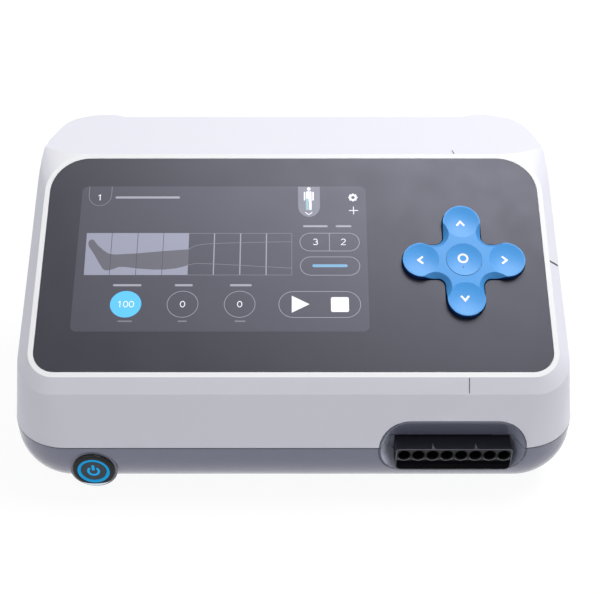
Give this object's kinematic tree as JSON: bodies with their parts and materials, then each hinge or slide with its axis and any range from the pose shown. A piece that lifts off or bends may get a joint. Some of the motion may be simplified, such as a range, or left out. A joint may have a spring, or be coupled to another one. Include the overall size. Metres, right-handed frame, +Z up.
{
  "type": "compression therapy pump",
  "caption": "Table-top air compression therapy pump: sloping glass display panel, four-way key with centre button, lit power switch, recessed row of air ports.",
  "frame": {"origin": "middle of the footprint on the table, under the feet", "axes": "+X to the user's right along the width, +Y to the back, +Z up"},
  "size_m": [0.298, 0.184, 0.1441],
  "materials": {
    "housing": "fine matte",
    "base": "satin",
    "foot_rubber": "matte",
    "steel_screw": "plated",
    "panel_glass": "polished",
    "display": "gloss",
    "bracket_steel": "stamped",
    "board": "solder mask",
    "nylon": "satin",
    "switch_black": "satin",
    "key_blue": "satin gloss",
    "button_blue": "satin gloss",
    "bezel_metal": "gloss",
    "lit_blue": "lit",
    "cap_grey": "satin",
    "barrel_black": "satin",
    "surround": "satin",
    "port_black": "satin",
    "slab_black": "gloss",
    "port_grey": "satin",
    "tube_clear": "translucent",
    "manifold": "satin",
    "coil_steel": "plated",
    "mount_rubber": "matte",
    "plate_steel": "plated",
    "motor_steel": "drawn",
    "head_alloy": "cast",
    "inlet_black": "satin",
    "pin_brass": "plated",
    "fan_black": "satin",
    "rotor_black": "satin"
  },
  "bodies": {
    "case": {"upper_housing": "housing", "base_shell": "base", "rubber_foot_1": "foot_rubber", "rubber_foot_2": "foot_rubber", "rubber_foot_3": "foot_rubber", "rubber_foot_4": "foot_rubber", "case_screws": "steel_screw", "panel_screws": "steel_screw", "fan_screws": "steel_screw", "glass_panel": "panel_glass", "display_module": "display", "display_bracket": "bracket_steel", "main_board": "board", "key_board": "board", "power_supply": "board", "board_spacers": "nylon", "supply_standoffs": "nylon", "pivot_posts": "nylon", "tact_switches": "switch_black", "power_bezel": "bezel_metal", "power_ring": "lit_blue", "power_barrel": "barrel_black", "power_nut": "barrel_black", "port_surround_upper": "surround", "port_surround_lower": "surround", "port_cover": "port_black", "port_slab": "slab_black", "port_sleeve_1": "port_grey", "port_sleeve_2": "port_grey", "port_sleeve_3": "port_grey", "port_sleeve_4": "port_grey", "port_sleeve_5": "port_grey", "port_sleeve_6": "port_grey", "port_sleeve_7": "port_grey", "port_sleeve_8": "port_grey", "port_tubes": "tube_clear", "pump_hose": "tube_clear", "valve_manifold": "manifold", "solenoid_valves": "coil_steel", "pump_mounts": "mount_rubber", "pump_plate": "plate_steel", "pump_motor": "motor_steel", "pump_head": "head_alloy", "mains_inlet": "inlet_black", "inlet_pins": "pin_brass", "fan_frame": "fan_black"},
    "pivot_ring": {"pivot_ring": "nylon"},
    "key": {"cross_key": "key_blue"},
    "centre_button": {"centre_button": "button_blue"},
    "power_button": {"power_button": "cap_grey"},
    "fan_rotor": {"fan_rotor": "rotor_black"}
  },
  "joints": [
    {"name": "key_rock_sideways", "type": "hinge", "parent": "case", "child": "pivot_ring", "pos_m": [0.0895, -0.01984, 0.10474], "axis": [0, 0.8746, 0.4848], "range_deg": [-1.6, 1.6], "stiffness_Nm_per_rad": 1.5},
    {"name": "key_rock_endways", "type": "hinge", "parent": "pivot_ring", "child": "key", "pos_m": [0.0895, -0.01984, 0.10474], "axis": [1, 0, 0], "range_deg": [-1.6, 1.6], "stiffness_Nm_per_rad": 1.5},
    {"name": "centre_press", "type": "slide", "parent": "key", "child": "centre_button", "axis": [0, 0.4848, -0.8746], "range_m": [0, 0.0008], "stiffness_N_per_m": 700, "springref_m": -0.0005},
    {"name": "power_press", "type": "slide", "parent": "case", "child": "power_button", "axis": [0, 1, 0], "range_m": [0, 0.0015], "stiffness_N_per_m": 500, "springref_m": -0.0006},
    {"name": "fan_spin", "type": "hinge", "parent": "case", "child": "fan_rotor", "pos_m": [-0.05, 0.0775, 0.088], "axis": [0, 1, 0], "continuous": true}
  ]
}
